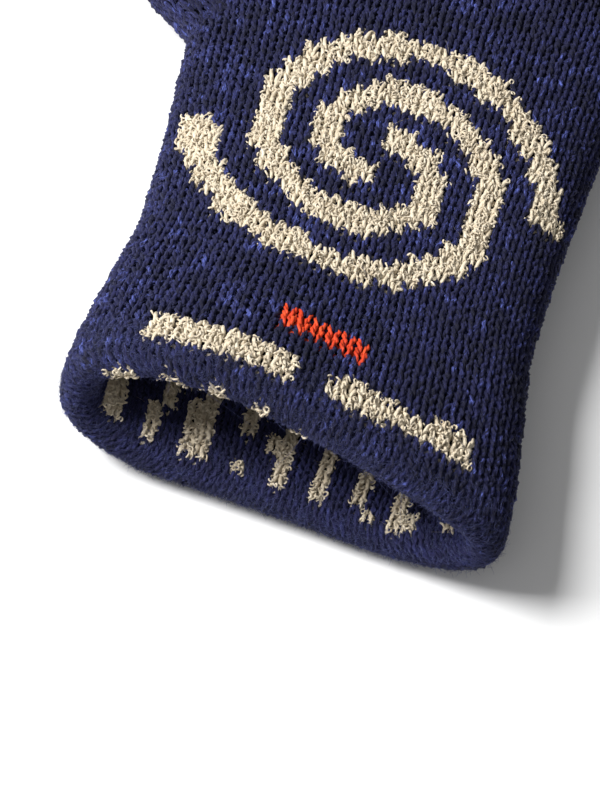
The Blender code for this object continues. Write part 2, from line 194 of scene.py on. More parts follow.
def hand_cloth():
    step = 0.001
    along = np.arange(-FACING - 0.002, LENGTH + 0.0015, step)
    turn = math.pi * ROLL / 2
    around = np.clip(math.pi / 2 - along / ROLL, 0, math.pi)
    flat = np.maximum(np.abs(along) - turn, 0)
    y = ROLL * (1 - np.sin(around)) + flat
    inset = LAYER + ROLL * (1 - np.cos(around))
    settled = smooth(-along, turn, turn + 0.018)
    inset -= np.where(along < 0, settled * (2 * ROLL - 0.0036), 0)
    half, tall, taper = hand_size(y)
    kernel = np.hanning(21) / np.hanning(21).sum()
    half, tall = (np.convolve(np.pad(size, 10, mode="edge"), kernel, mode="valid") for size in (half, tall))
    half = np.maximum(half * taper, 0.004)
    tall = tall * (TIP_HEIGHT + (1 - TIP_HEIGHT) * taper)
    angle = np.linspace(math.pi, -math.pi, 721)[None, :]
    inset = np.minimum(inset, half * 0.6)
    x, z = section(half[:, None], tall[:, None], tall[:, None] / 2, angle, inset[:, None])
    y = np.broadcast_to(y[:, None], x.shape).copy()
    fade = 1 - smooth(y, 0, MOUTH_REACH)
    slouch = smooth(x, *MOUTH_SIDES)
    y += fade * (z / MOUTH_HEIGHT * (MOUTH_BACK - MOUTH_SKEW * slouch) - MOUTH_LEAD)
    z *= 1 - MOUTH_DROOP * slouch * fade
    back = smooth(z / tall[:, None], 0.35, 0.95)
    ripple = waves(x, y, 0.055, 3) * 0.0008 + waves(x, y, 0.030, 4) * 0.00035
    z += back * ripple
    z += (tall[:, None] / 2 - z) * smooth(y, *TIP_SHUTS) * TIP_SHUT
    x = x * (1 + 0.008 * waves(y, y * 0, 0.07, 6))
    points = np.stack([x, y + RIM_Y, z], axis=2)
    return Cloth(along[0], step, even_columns(points, 120))


def thumb_cloth():
    step = 0.001
    along = np.arange(-0.004, THUMB_LENGTH + 0.0015, step)
    t = np.clip((along - THUMB_ROUND) / (THUMB_LENGTH - THUMB_ROUND), 0, 1)
    taper = np.maximum(1 - t**TIP_POWER, 0) ** (1 / TIP_POWER)
    half = (THUMB_HALF - THUMB_NARROWING * smooth(along, 0.02, 0.05)) * taper
    half = np.maximum(half, 0.003)
    rise = smooth(along, 0, THUMB_RISE)
    tall = (THUMB_BASE_HEIGHT + THUMB_SWELL * rise) * (TIP_HEIGHT + (1 - TIP_HEIGHT) * taper)
    middle = THUMB_ROOT.z + (tall / 2 - THUMB_ROOT.z) * rise
    angle = np.linspace(math.pi, -math.pi, 361)[None, :]
    inset = np.minimum(LAYER, half * 0.5)[:, None]
    across, z = section(half[:, None], tall[:, None], middle[:, None], angle, inset)
    axis = np.array([-math.sin(THUMB_ANGLE), math.cos(THUMB_ANGLE)])
    square = np.array([math.cos(THUMB_ANGLE), math.sin(THUMB_ANGLE)])
    skewed = np.array([0, 1 / math.sin(THUMB_ANGLE)])
    turn = smooth(along, 0, THUMB_TURN)[:, None]
    width = skewed * (1 - turn) + square * turn
    plan = np.array([THUMB_ROOT.x, THUMB_ROOT.y]) + axis * along[:, None]
    x = plan[:, :1] + across * width[:, :1]
    y = plan[:, 1:] + across * width[:, 1:]
    rise = smooth(z / tall[:, None], 0.35, 0.95)
    z = z + rise * waves(x, y, 0.028, 9) * 0.0005
    z += (middle[:, None] - z) * smooth(along, *THUMB_SHUTS)[:, None] * TIP_SHUT
    return Cloth(along[0], step, even_columns(np.stack([x, y, z], axis=2), 60))


# ---------------------------------------------------------------- the contrast yarns' places
NAVY, NATURAL, VERMILION = 0, 1, 2
SPIRAL_DEPTH = WRIST.y - RIM_Y  # the plain spiral's centre, from the rim
SPIRAL_START = 0.0045  # radius at which both arms begin
SPIRAL_PITCH = 0.026  # how much further out an arm is after each turn
SPIRAL_TURNS = 1.25
ARM_HALF = 0.0032  # half an arm's width
ARM_STARTS = (0, 180)  # degrees clockwise from +Y
BAR_HALF, BAR_DEPTH, BAR_TALL = 0.0090, 0.0225, 0.0048  # the bright bar below the spiral
BAND_NEAR, BAND_FAR = 0.0040, 0.0330  # the bands' ends, from the back's middle
BAND_DEPTH, BAND_TALL = 0.0110, 0.0064
FLECKS_FROM = 1.5  # mm from the rim
FLECK_SHARE = 0.35  # the higher, the fewer


def on_arm(x, y, start):
    """True where a point, taken from the spiral's centre, lies on one arm, however many turns in."""
    radius = np.hypot(x, y)
    around = (np.degrees(np.arctan2(x, y)) - start) % 360
    inside = np.zeros(np.shape(x), bool)
    for whole in range(math.ceil(SPIRAL_TURNS)):
        turn = around + 360 * whole
        middle = SPIRAL_START + SPIRAL_PITCH * turn / 360
        inside |= (turn <= 360 * SPIRAL_TURNS) & (np.abs(radius - middle) < ARM_HALF)
    return inside


def motif(x, y):
    """Which yarn a stitch of the back is knitted with: across from its middle, and from the rim."""
    out = np.abs(x)
    natural = (out > BAND_NEAR) & (out < BAND_FAR) & (np.abs(y - BAND_DEPTH) < BAND_TALL / 2)
    for start in ARM_STARTS:
        natural |= on_arm(x, y - SPIRAL_DEPTH, start)
    yarn = np.where(natural, NATURAL, NAVY)
    yarn[(out < BAR_HALF) & (np.abs(y - BAR_DEPTH) < BAR_TALL / 2)] = VERMILION
    return yarn


def facing_motif(x, y):
    """Irregular flecks of natural yarn on the turned-in layer: across, and depth from the rim."""
    x, y = x * 1000, y * 1000
    wander = np.sin(x * 0.72 + 0.9 + np.sin(y * 0.19)) + 0.5 * np.sin(x * 0.31 + y * 0.12)
    return np.where((wander > FLECK_SHARE) & (y > FLECKS_FROM), NATURAL, NAVY)


# ---------------------------------------------------------------- yarn
LOOP_SWING = 0.20  # how far a loop's head spreads past its neck, in stitches
LOOP_RISE = 0.98  # half the height of a loop, in rows
LOOP_DEPTH = 0.00058  # half the distance between a loop's legs in front and its head behind
LOOP_STEPS = 14
PLY_PITCH = 0.0036  # length of yarn in one turn of its twist
YARN_RADIUS = {NAVY: 0.00070, NATURAL: 0.00044, VERMILION: 0.00062}


class Yarn:
    """Collects strands, then makes them one mesh of tubes."""

    def __init__(self, sides):
        self.sides = sides
        self.points, self.faces, self.ply, self.tone = [], [], [], []
        self.count = 0

    def add(self, paths, normals, radius, tone):
        """paths and normals are strands by points by 3, radius and tone strands by points."""
        m, n, k = len(paths), paths.shape[1], self.sides
        tangent = np.gradient(paths, axis=1)
        tangent /= np.linalg.norm(tangent, axis=2, keepdims=True) + 1e-12
        side = np.cross(tangent, normals)
        side /= np.linalg.norm(side, axis=2, keepdims=True) + 1e-12
        lift = np.cross(side, tangent)
        around = np.linspace(0, 2 * math.pi, k, endpoint=False)[:, None]
        ring = np.cos(around) * side[:, :, None] + np.sin(around) * lift[:, :, None]
        self.points.append((paths[:, :, None] + ring * radius[:, :, None, None]).reshape(-1, 3))
        i = np.arange(m)[:, None, None] * n * k + np.arange(n - 1)[None, :, None] * k
        a, b = np.arange(k), (np.arange(k) + 1) % k
        self.faces.append(np.stack([i + a, i + b, i + k + b, i + k + a], axis=3).reshape(-1, 4) + self.count)
        run = np.linalg.norm(np.diff(paths, axis=1), axis=2).cumsum(1) / PLY_PITCH
        run = np.concatenate([np.zeros((m, 1)), run], axis=1)
        near, far = run[:, :-1, None], run[:, 1:, None]
        left, right = np.arange(k) / k, (np.arange(k) + 1) / k
        self.ply.append(np.stack([near + left, near + right, far + right, far + left], axis=3).reshape(-1))
        self.tone.append(np.repeat(tone.reshape(-1), k))
        self.count += m * n * k

    def add_plied(self, path, normal, radius, tone):
        """One strand as two plies twisted together."""
        tangent = np.gradient(path, axis=0)
        tangent /= np.linalg.norm(tangent, axis=1, keepdims=True) + 1e-12
        side = np.cross(tangent, normal)
        side /= np.linalg.norm(side, axis=1, keepdims=True) + 1e-12
        run = np.concatenate([[0], np.linalg.norm(np.diff(path, axis=0), axis=1).cumsum()])
        turn = (2 * math.pi * run / PLY_PITCH)[:, None]
        offset = (np.cos(turn) * side + np.sin(turn) * np.cross(side, tangent)) * radius[:, None] * 0.45
        both = np.stack([path + offset, path - offset])
        self.add(both, np.stack([normal, normal]), np.stack([radius, radius]) * 0.57, np.stack([tone, tone]))

    def piece(self, name, material):
        points, faces = np.concatenate(self.points), np.concatenate(self.faces)
        mesh = bpy.data.meshes.new(name)
        mesh.vertices.add(len(points))
        mesh.vertices.foreach_set("co", points.astype(np.float32).ravel())
        mesh.loops.add(faces.size)
        mesh.loops.foreach_set("vertex_index", faces.astype(np.int32).ravel())
        mesh.polygons.add(len(faces))
        mesh.polygons.foreach_set("loop_start", np.arange(len(faces), dtype=np.int32) * 4)
        mesh.polygons.foreach_set("use_smooth", np.ones(len(faces), bool))
        mesh.update(calc_edges=True)
        ply = mesh.attributes.new("ply", "FLOAT", "CORNER")
        ply.data.foreach_set("value", np.concatenate(self.ply).astype(np.float32))
        tone = mesh.attributes.new("tone", "FLOAT", "POINT")
        tone.data.foreach_set("value", np.concatenate(self.tone).astype(np.float32))
        mesh.materials.append(material)
        obj = bpy.data.objects.new(name, mesh)
        bpy.context.scene.collection.objects.link(obj)
        return obj


def across(t, wales, arc, pitch):
    """Share of the back's width at stitch t of a row: an even pitch, with the slack in the outer three."""
    half = wales / 2
    out = np.abs(t - half)
    slack = arc / 2 - half * pitch
    run = out * pitch + slack * smooth(out, half - 3, half)
    return 0.5 + np.sign(t - half) * run / arc


class Knit:
    """Rows of loops on a cloth, each run of one yarn a strand of its own."""

    def __init__(self, cloth, seed):
        self.cloth = cloth
        self.draw = np.random.default_rng(seed)
        self.stitches = {NAVY: [], NATURAL: [], VERMILION: []}  # side, row's place, share, share of a stitch

    def loops(self, yarn, side, row, first, last, radius, plied):
        """One run of loops of a row from stitch first to last: on the back (side 0) or the palm (side 1)."""
        along, wales, arc, pitch = row
        t = np.linspace(first, last, (last - first) * LOOP_STEPS + 1)
        jitter = self.draw.normal(0, 1, (5, last - first + 1))
        marks = np.arange(first, last + 1)
        nudge, climb, press, swell, shade = (np.interp(t, marks, each) for each in jitter)
        turn = 2 * math.pi * t
        share = 0.5 * side + 0.5 * across(t + LOOP_SWING * np.sin(2 * turn) + 0.05 * nudge, wales, arc, pitch)
        place = along - LOOP_RISE * COURSE * np.cos(turn) * (1 + 0.07 * climb) + 0.06 * COURSE * nudge
        felted = 0.45 + 0.55 * smooth(np.abs(place), 0.001, 0.010)
        lift = -LOOP_DEPTH * np.cos(2 * turn) * felted + 0.00013 * press
        path, normal = self.cloth.at(share, place, lift)
        radius = radius * (1 + 0.09 * swell)
        tone = 0.5 + 0.16 * shade + self.draw.normal(0, 0.13, len(t))
        if plied:
            yarn.add_plied(path, normal, radius, tone)
        else:
            yarn.add(path[None], normal[None], radius[None], tone[None])

    def row(self, yarns, side, along, wales, pitch, colours):
        """A whole row on one side. colours(points) gives each stitch's yarn, or -1 for no stitch."""
        arc = float(self.cloth.arc(along))
        pitch = pitch or arc / wales
        middles = np.arange(wales) + 0.5
        shares = 0.5 * side + 0.5 * across(middles, wales, arc, pitch)
        points, _ = self.cloth.at(shares, np.full(wales, along), np.zeros(wales))
        which = colours(points)
        ends = [0, *(np.nonzero(np.diff(which))[0] + 1), wales]
        for first, last in zip(ends[:-1], ends[1:]):
            kind = int(which[first])
            if kind >= 0:
                row, radius = (along, wales, arc, pitch), YARN_RADIUS[kind]
                self.loops(yarns[kind], side, row, first, last, radius, kind != NATURAL)
        for kind, share in zip(which, shares):
            if kind >= 0:
                self.stitches[int(kind)].append((along, share, 0.5 * pitch / arc))


# ---------------------------------------------------------------- materials
def new_material(name, slot_colour):
    material = bpy.data.materials.new(name)
    material.use_nodes = True
    material.diffuse_color = (*slot_colour, 1)
    nodes, links = material.node_tree.nodes, material.node_tree.links
    return material, nodes, links, nodes["Principled BSDF"]


def noise(nodes, links, scale, detail=2.0, distortion=0.0):
    where = nodes.new("ShaderNodeTexCoord")
    texture = nodes.new("ShaderNodeTexNoise")
    texture.inputs["Scale"].default_value = scale
    texture.inputs["Detail"].default_value = detail
    texture.inputs["Distortion"].default_value = distortion
    links.new(where.outputs["Object"], texture.inputs["Vector"])
    return texture.outputs["Fac"]


def maths(nodes, links, operation, first, second=0.5, third=0.5):
    node = nodes.new("ShaderNodeMath")
    node.operation = operation
    for socket, value in zip(node.inputs, (first, second, third)):
        if isinstance(value, (int, float)):
            socket.default_value = value
        else:
            links.new(value, socket)
    return node.outputs[0]


def ramp(nodes, links, value, stops):
    node = nodes.new("ShaderNodeValToRGB")
    elements = node.color_ramp.elements
    while len(elements) < len(stops):
        elements.new(0.5)
    for element, (place, colour) in zip(elements, stops):
        element.position = place
        element.color = (*colour, 1)
    links.new(value, node.inputs[0])
    return node.outputs[0]


def attribute(nodes, name):
    node = nodes.new("ShaderNodeAttribute")
    node.attribute_name = name
    return node.outputs["Fac"]


def wool(name, stops, sheen, sheen_tint, plies=2, twist=0.35, fluff=0.25, roughness=0.88, streak=0.25):
    """Spun yarn: twisted plies and streaks along them, in bump and colour. The colour is mottled by noise and
    streaks, with painted shade in the grooves between the plies; where the ramp's top stop is a bright glint
    colour, as for the navy wool and its nap, the streaks and fibre noise paint glints.
    """
    material, nodes, links, shader = new_material(name, stops[len(stops) // 2][1])
    fibres = noise(nodes, links, 2600, 3.0, 0.6)
    mottle = noise(nodes, links, 420, 2.0)
    patches = noise(nodes, links, 45, 1.0)
    tone = attribute(nodes, "tone")
    streaks = noise(nodes, links, 7.0, 3.0, 0.65)
    streaks.node.noise_dimensions = "1D"
    links.new(maths(nodes, links, "ADD", attribute(nodes, "ply"), tone), streaks.node.inputs["W"])
    turn = maths(nodes, links, "MULTIPLY", attribute(nodes, "ply"), 2 * math.pi * plies)
    groove_relief_and_shade = maths(nodes, links, "SINE", turn)
    groove_relief_and_shade = maths(nodes, links, "MULTIPLY_ADD", groove_relief_and_shade, 0.5, 0.5)
    mix = maths(nodes, links, "MULTIPLY_ADD", tone, 0.48, -0.12)
    mix = maths(nodes, links, "MULTIPLY_ADD", streaks, streak, mix)
    mix = maths(nodes, links, "MULTIPLY_ADD", mottle, 0.38, mix)
    mix = maths(nodes, links, "MULTIPLY_ADD", fibres, 0.30, mix)
    # painted shade: the base colour is darker in the grooves between the plies and lighter on their crowns
    mix = maths(nodes, links, "MULTIPLY_ADD", groove_relief_and_shade, 0.07, mix)
    mix = maths(nodes, links, "MULTIPLY_ADD", patches, 0.10, mix)
    mix = maths(nodes, links, "SUBTRACT", mix, 0.07 + streak / 2)
    links.new(ramp(nodes, links, mix, stops), shader.inputs["Base Color"])
    links.new(maths(nodes, links, "MULTIPLY_ADD", fibres, 0.2, roughness - 0.1), shader.inputs["Roughness"])
    height = maths(nodes, links, "MULTIPLY", groove_relief_and_shade, twist)
    height = maths(nodes, links, "MULTIPLY_ADD", streaks, streak, height)
    height = maths(nodes, links, "MULTIPLY_ADD", fibres, fluff, height)
    bump_node = nodes.new("ShaderNodeBump")
    bump_node.inputs["Strength"].default_value = 0.9
    bump_node.inputs["Distance"].default_value = 0.00045
    links.new(height, bump_node.inputs["Height"])
    links.new(bump_node.outputs[0], shader.inputs["Normal"])
    shader.inputs["Specular IOR Level"].default_value = 0.25
    shader.inputs["Sheen Weight"].default_value = sheen
    shader.inputs["Sheen Roughness"].default_value = 0.45
    shader.inputs["Sheen Tint"].default_value = (*sheen_tint, 1)
    return material


# painted highlight: the bright blue top stop, reached along strong streaks and fibre noise, paints glints of
# shiny fibres into the navy's colour
NAVY_WOOL = wool(
    "navy wool",
    [
        (0.0, (0.001, 0.001, 0.005)),
        (0.36, (0.004, 0.004, 0.017)),
        (0.62, (0.013, 0.014, 0.070)),
        (0.84, (0.09, 0.12, 0.42)),
    ],
    0.16,
    (0.36, 0.40, 0.95),
    twist=0.2,
    fluff=0.9,
    roughness=0.66,
    streak=0.75,
)
# painted highlight: the bright top stop paints glints, and light shining through the fibres, into the nap's
# colour
NAP = wool(
    "navy nap",
    [(0.0, (0.009, 0.009, 0.042)), (0.45, (0.036, 0.038, 0.155)), (0.85, (0.18, 0.21, 0.52))],
    0.3,
    (0.5, 0.56, 1.0),
)
LINKING = wool(
    "navy linking yarn",
    [(0.0, (0.004, 0.004, 0.013)), (0.5, (0.012, 0.012, 0.048)), (1.0, (0.035, 0.040, 0.160))],
    0.2,
    (0.45, 0.47, 0.85),
)
FLOATS = wool(
    "navy floats",
    [(0.0, (0.002, 0.002, 0.006)), (0.5, (0.005, 0.005, 0.017)), (1.0, (0.012, 0.012, 0.050))],
    0.0,
    (0.4, 0.4, 0.8),
)
FACING_WOOL = wool(
    "navy wool of the facing",
    [(0.0, (0.004, 0.004, 0.014)), (0.5, (0.012, 0.012, 0.05)), (1.0, (0.04, 0.05, 0.19))],
    0.15,
    (0.35, 0.42, 0.9),
)
NATURAL_WOOL = wool(
    "natural boucle",
    [(0.0, (0.44, 0.36, 0.25)), (0.5, (0.66, 0.57, 0.43)), (1.0, (0.80, 0.73, 0.60))],
    0.15,
    (1.0, 0.95, 0.85),
    twist=0.15,
    fluff=0.5,
)
VERMILION_WOOL = wool(
    "vermilion yarn",
    [(0.0, (0.28, 0.015, 0.005)), (0.5, (0.60, 0.045, 0.011)), (1.0, (0.82, 0.13, 0.030))],
    0.1,
    (1.0, 0.6, 0.4),
    twist=0.2,
    fluff=0.15,
    roughness=0.55,
)


# ---------------------------------------------------------------- knitting
def empty_yarns():
    return {NAVY: Yarn(4), NATURAL: Yarn(5), VERMILION: Yarn(5)}


def in_thumb(points):
    """True where a point of the hand's fabric lies where the thumb opens off it."""
    along = (THUMB_ROOT.x - points[:, 0]) / math.sin(THUMB_ANGLE)
    middle = THUMB_ROOT.y + along * math.cos(THUMB_ANGLE)
    return (along > 0.0005) & (np.abs(points[:, 1] - middle) * math.sin(THUMB_ANGLE) < THUMB_HALF - 0.0022)


def back_colours(points):
    which = motif(points[:, 0], points[:, 1] - RIM_Y)
    return np.where(in_thumb(points), -1, which)


def palm_colours(points):
    return np.where(in_thumb(points), -1, NAVY)


def facing_colours(points):
    return facing_motif(points[:, 0], points[:, 1] - RIM_Y)


hand = hand_cloth()
knit = Knit(hand, 11)
ZONES = (("cuff", 0, 23), ("wrist", 23, 47), ("hand", 47, 75), ("finger", 75, 200))
zone_yarns = {}
tip_along = TIP_START + 0.0018
tip_pitch = float(hand.arc(tip_along)) / WALES
last_row = int((LENGTH + 0.0004) / COURSE)
for zone, first, last in ZONES:
    for side, side_name in ((0, "back"), (1, "palm")):
        yarns = empty_yarns()
        for number in range(first, min(last, last_row)):
            along = (number + 0.5) * COURSE
            wales, pitch = WALES, None
            if along > tip_along:
                wales = 2 * int(hand.arc(along) / (2 * tip_pitch))
                pitch = tip_pitch
            if wales >= 4:
                knit.row(yarns, side, along, wales, pitch, back_colours if side == 0 else palm_colours)
        zone_yarns[zone, side_name] = yarns
facing_knit = Knit(hand, 12)
for side, side_name in ((0, "back"), (1, "palm")):
    yarns = empty_yarns()
    for number in range(1, int(FACING / COURSE)):
        facing_knit.row(yarns, side, -(number - 0.5) * COURSE, WALES, None, facing_colours)
    zone_yarns["facing", side_name] = yarns

thumb = thumb_cloth()
thumb_knit = Knit(thumb, 13)
thumb_yarns = {}
thumb_tip = 0.037
thumb_pitch = float(thumb.arc(thumb_tip)) / THUMB_WALES
for side, side_name in ((0, "back"), (1, "palm")):
    yarns = empty_yarns()
    for number in range(int(THUMB_LENGTH / COURSE) + 2):
        along = (number - 0.5) * COURSE
        wales, pitch = THUMB_WALES, None
        if along > thumb_tip:
            wales = 1 + 2 * int((thumb.arc(along) / thumb_pitch - 1) / 2)
            pitch = thumb_pitch
        if wales >= 3:
            thumb_knit.row(yarns, side, along, wales, pitch, lambda points: np.full(len(points), NAVY))
    thumb_yarns[side_name] = yarns


# ---------------------------------------------------------------- curls of the boucle, and loose fibres
CURLS, CURL_STEPS = 12, 8


def spread(stitches, each, reach):
    """Random places over these stitches: shares and distances up the tube."""
    rows = np.repeat(np.array(stitches, float), each, axis=0)
    share = rows[:, 1] + rng.uniform(-reach, reach, len(rows)) * rows[:, 2]
    return share, rows[:, 0] + rng.uniform(-reach, reach, len(rows)) * COURSE


def grow_curls(cloth, stitches):
    """Arcs and small rings of slub yarn crowded over each natural stitch."""
    yarn = Yarn(4)
    share, along = spread(stitches, CURLS, 0.60)
    count = len(share)
    around, ahead, normal = cloth.axes(share, along)
    ring = rng.random(count) < 0.66
    height = rng.uniform(0.00005, 0.00095, count)
    centre, _ = cloth.at(share, along, height)
    heading = rng.normal(math.pi / 2, 1.1, count)[:, None]
    first = np.cos(heading) * around + np.sin(heading) * ahead
    tilt = np.where(ring, rng.uniform(0.1, 1.3, count), rng.uniform(0.6, 1.5, count))[:, None]
    second = np.cos(tilt) * np.cross(normal, first) + np.sin(tilt) * normal
    size = np.where(ring, rng.uniform(0.00036, 0.00064, count), rng.uniform(0.00042, 0.00062, count))
    size = size[:, None, None]
    stretch = np.where(ring, 1.0, rng.uniform(1.1, 1.5, count))[:, None, None]
    sweep = np.where(ring, rng.uniform(4.2, 6.0, count), rng.uniform(2.4, 3.6, count))
    start = np.where(ring, rng.uniform(0, 6.3, count), math.pi / 2 - sweep / 2 + rng.normal(0, 0.2, count))
    turn = (start[:, None] + sweep[:, None] * np.linspace(0, 1, CURL_STEPS))[:, :, None]
    paths = stretch * np.cos(turn) * first[:, None] + np.sin(turn) * second[:, None]
    paths = centre[:, None] + size * paths
    paths -= np.where(ring[:, None, None], 0, size * 0.70) * normal[:, None]
    thinning = np.sin(np.linspace(0.5, math.pi - 0.5, CURL_STEPS)) ** 0.5
    radius = rng.uniform(0.00018, 0.00027, count)[:, None] * thinning
    tone = np.clip(rng.normal(0.50, 0.26, count), 0, 1)[:, None] * np.ones(CURL_STEPS)
    yarn.add(paths, np.broadcast_to(normal[:, None] + 0.3 * around[:, None], paths.shape), radius, tone)
    return yarn


def grow_fibres(cloth, share, along, length, stand, thickness, seed):
    """Loose fibres curving out of the fabric: stand is how steeply they leave it."""
    draw = np.random.default_rng(seed)
    count, steps = len(share), 4
    around, ahead, normal = cloth.axes(share, along)
    base, _ = cloth.at(share, along, np.full(count, 0.0004))
    heading = draw.uniform(0, 2 * math.pi, count)[:, None]
    flat = np.cos(heading) * around + np.sin(heading) * ahead
    aside = np.cross(normal, flat)
    run = np.linspace(0, 1, steps)[None, :, None] * length[:, None, None]
    curl = draw.normal(0, 0.5, count)[:, None, None] * run**2 / length[:, None, None]
    fall = (stand * draw.uniform(0.2, 1.0, count))[:, None, None]
    droop = run**2 / length[:, None, None] * fall
    paths = base[:, None] + flat[:, None] * run + normal[:, None] * (run * stand[:, None, None] - droop)
    paths = paths + aside[:, None] * curl
    radius = np.broadcast_to(thickness * np.linspace(1, 0.5, steps), (count, steps))
    tone = np.clip(draw.normal(0.6, 0.25, count), 0, 1)[:, None] * np.ones(steps)
    yarn = Yarn(3)
    yarn.add(paths, np.broadcast_to(normal[:, None] + 0.01 * aside[:, None], paths.shape), radius, tone)
    return yarn


def scatter(cloth, count, low, high, seed):
    draw = np.random.default_rng(seed)
    return draw.uniform(0, 1, count), draw.uniform(low, high, count), draw


def nap(cloth, count, low, high, longest, seed, keep=None, thickness=0.000022):
    """Short fibres spread over a stretch of a tube."""
    share, along, draw = scatter(cloth, count, low, high, seed)
    if keep is not None:
        points, _ = cloth.at(share, along, np.zeros(count))
        kept = keep(points, share, along)
        share, along = share[kept], along[kept]
    length = draw.uniform(0.35, 1.0, len(share)) ** 1.5 * longest
    stand = np.abs(draw.normal(0.25, 0.30, len(share)))
    return grow_fibres(cloth, share, along, length, stand, thickness, seed + 1)


def navy_ground(points, share, along):
    """Where the nap grows: off the thumb's opening, and not on natural yarn."""
    on_back = (share < 0.5) & (along > 0)
    inside = along < 0
    which = np.where(on_back, motif(points[:, 0], points[:, 1] - RIM_Y), NAVY)
    which = np.where(inside, facing_colours(points), which)
    return ~in_thumb(points) & (which == NAVY)


def stray_hairs():
    """A few long fibres hanging in the mouth and lying over the cuff."""
    draw = np.random.default_rng(41)
    share = np.concatenate([draw.uniform(0.10, 0.42, 7), draw.uniform(0.05, 0.45, 5)])
    along = np.concatenate([draw.uniform(-0.006, 0.002, 7), draw.uniform(0.010, 0.060, 5)])
    length = draw.uniform(0.006, 0.013, 12)
    return grow_fibres(hand, share, along, length, draw.uniform(0.1, 0.5, 12), 0.000028, 43)


# ---------------------------------------------------------------- seams, linking, hem and the floats inside
SEAM_SWING, SEAM_RADIUS = 0.00055, 0.00042  # how far a seam's strands swing to each side, and their radius
LINK_SWING, LINK_RADIUS = 0.0008, 0.00050


def twisted_pair(yarn, centre, side, normal, pitch, swing, radius, seed):
    """Two strands crossing over one another along a line of points, like a whipped or linked seam."""
    run = np.concatenate([[0], np.cumsum(np.linalg.norm(np.diff(centre, axis=0), axis=1))])
    count = max(int(run[-1] / pitch) * 8, 16)
    places = np.linspace(0, run[-1], count)

    def read(values):
        return np.stack([np.interp(places, run, values[:, k]) for k in range(3)], axis=1)

    line, across_line, out = read(centre), read(side), read(normal)
    draw = np.random.default_rng(seed)
    wander = np.interp(places, np.linspace(0, run[-1], count // 8), draw.normal(0, 0.08, count // 8))
    turn = 2 * math.pi * places / pitch / 2
    for phase in (0, math.pi):
        path = line + across_line * (np.sin(turn + phase) * swing)[:, None]
        path = path + out * (np.cos(turn * 2 + phase / 2) * swing * 0.35)[:, None]
        yarn.add(path[None], out[None], (radius * (1 + wander))[None], (0.45 + wander)[None])


def seam(cloth, share, low, high, seed, keep=None):
    yarn = Yarn(5)
    along = np.arange(low, high, 0.0004)
    shares = np.full(len(along), float(share))
    around, _, normal = cloth.axes(shares, along)
    points, _ = cloth.at(shares, along, np.full(len(along), 0.00035))
    kept = np.ones(len(along), bool) if keep is None else keep(points)
    ends = np.flatnonzero(np.diff(np.concatenate([[0], kept.astype(int), [0]])))
    for first, last in zip(ends[::2], ends[1::2]):
        if last - first > 12:
            stretch = slice(first, last)
            line = points[stretch], around[stretch], normal[stretch]
            twisted_pair(yarn, *line, COURSE, SEAM_SWING, SEAM_RADIUS, seed)
    return yarn


def linking(cloth, start, end, seed):
    """The closed end of a tube: a linked line over the edge where back and palm meet."""
    along = np.linspace(start, end, 60)
    zero = np.zeros(60)
    sides = [cloth.at(zero + share, along, zero)[0] for share in (0.0, 0.5)]
    line = np.concatenate([sides[0], sides[1][::-1]])
    beyond = np.gradient(line, axis=0)
    beyond /= np.linalg.norm(beyond, axis=1, keepdims=True) + 1e-12
    rise = np.broadcast_to(np.array([0.0, 0.0, 1.0]), line.shape)
    out = np.cross(rise, beyond)
    yarn = Yarn(5)
    twisted_pair(yarn, line - out * 0.0004, rise, -out, COURSE, LINK_SWING, LINK_RADIUS, seed)
    return yarn


def hem():
    """Whip stitches holding the turned-in layer to the fabric behind it."""
    yarn = Yarn(5)
    count, steps = 56, 9
    middles = np.arange(count) / count
    t = np.linspace(0, 1, steps)[None, :]
    share = middles[:, None] + (t - 0.5) * 0.010
    along = -FACING + 0.0030 - 0.0048 * t + 0 * share
    lift = 0.0009 * np.sin(math.pi * np.minimum(t * 1.25, 1)) - 0.0026 * smooth(t, 0.55, 1) + 0 * share
    points, normals = hand.at(share.ravel(), along.ravel(), lift.ravel())
    radius = np.full((count, steps), 0.00036)
    tone = np.broadcast_to(rng.uniform(0.4, 0.9, (count, 1)), (count, steps))
    yarn.add(points.reshape(count, steps, 3), normals.reshape(count, steps, 3), radius, tone)
    return yarn


def floats(cloth, low, high, name, material, depth=0.0012, keep=None):
    """The strands carried behind the stitches, seen as one ribbed dark layer inside the tube."""
    rows = np.arange(low, high, 0.0012)
    columns = np.linspace(0, 1, 193)[:-1]
    share, along = (grid.ravel() for grid in np.meshgrid(columns, rows))
    rib = 0.00016 * np.sin(share * 2 * math.pi * 2 * WALES) + 0.00012 * np.sin(along * 2 * math.pi / COURSE)
    points, _ = cloth.at(share, along, rib - depth)
    n, m = len(rows), len(columns)
    i, j = (grid.ravel() for grid in np.meshgrid(np.arange(n - 1), np.arange(m), indexing="ij"))
    right_of = (j + 1) % m
    faces = np.stack([i * m + j, i * m + right_of, (i + 1) * m + right_of, (i + 1) * m + j], axis=1)
    if keep is not None:
        faces = faces[keep(points)[faces].all(1)]
    mesh = bpy.data.meshes.new(name)
    mesh.from_pydata(points.tolist(), [], faces.tolist())
    mesh.polygons.foreach_set("use_smooth", np.ones(len(faces), bool))
    mesh.materials.append(material)
    piece = bpy.data.objects.new(name, mesh)
    bpy.context.scene.collection.objects.link(piece)
    return piece


# ---------------------------------------------------------------- pieces, and the CAD parts that they hide
def bend_wrist(piece):
    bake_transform(piece)


def bend_knuckles(piece):
    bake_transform(piece)


def bend_thumb(piece):
    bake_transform(piece)


def finish_piece(yarn, name, material, bend, nodes=()):
    piece = yarn.piece(name, material)
    bend(piece)
    if nodes:
        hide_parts(*nodes)
    return piece


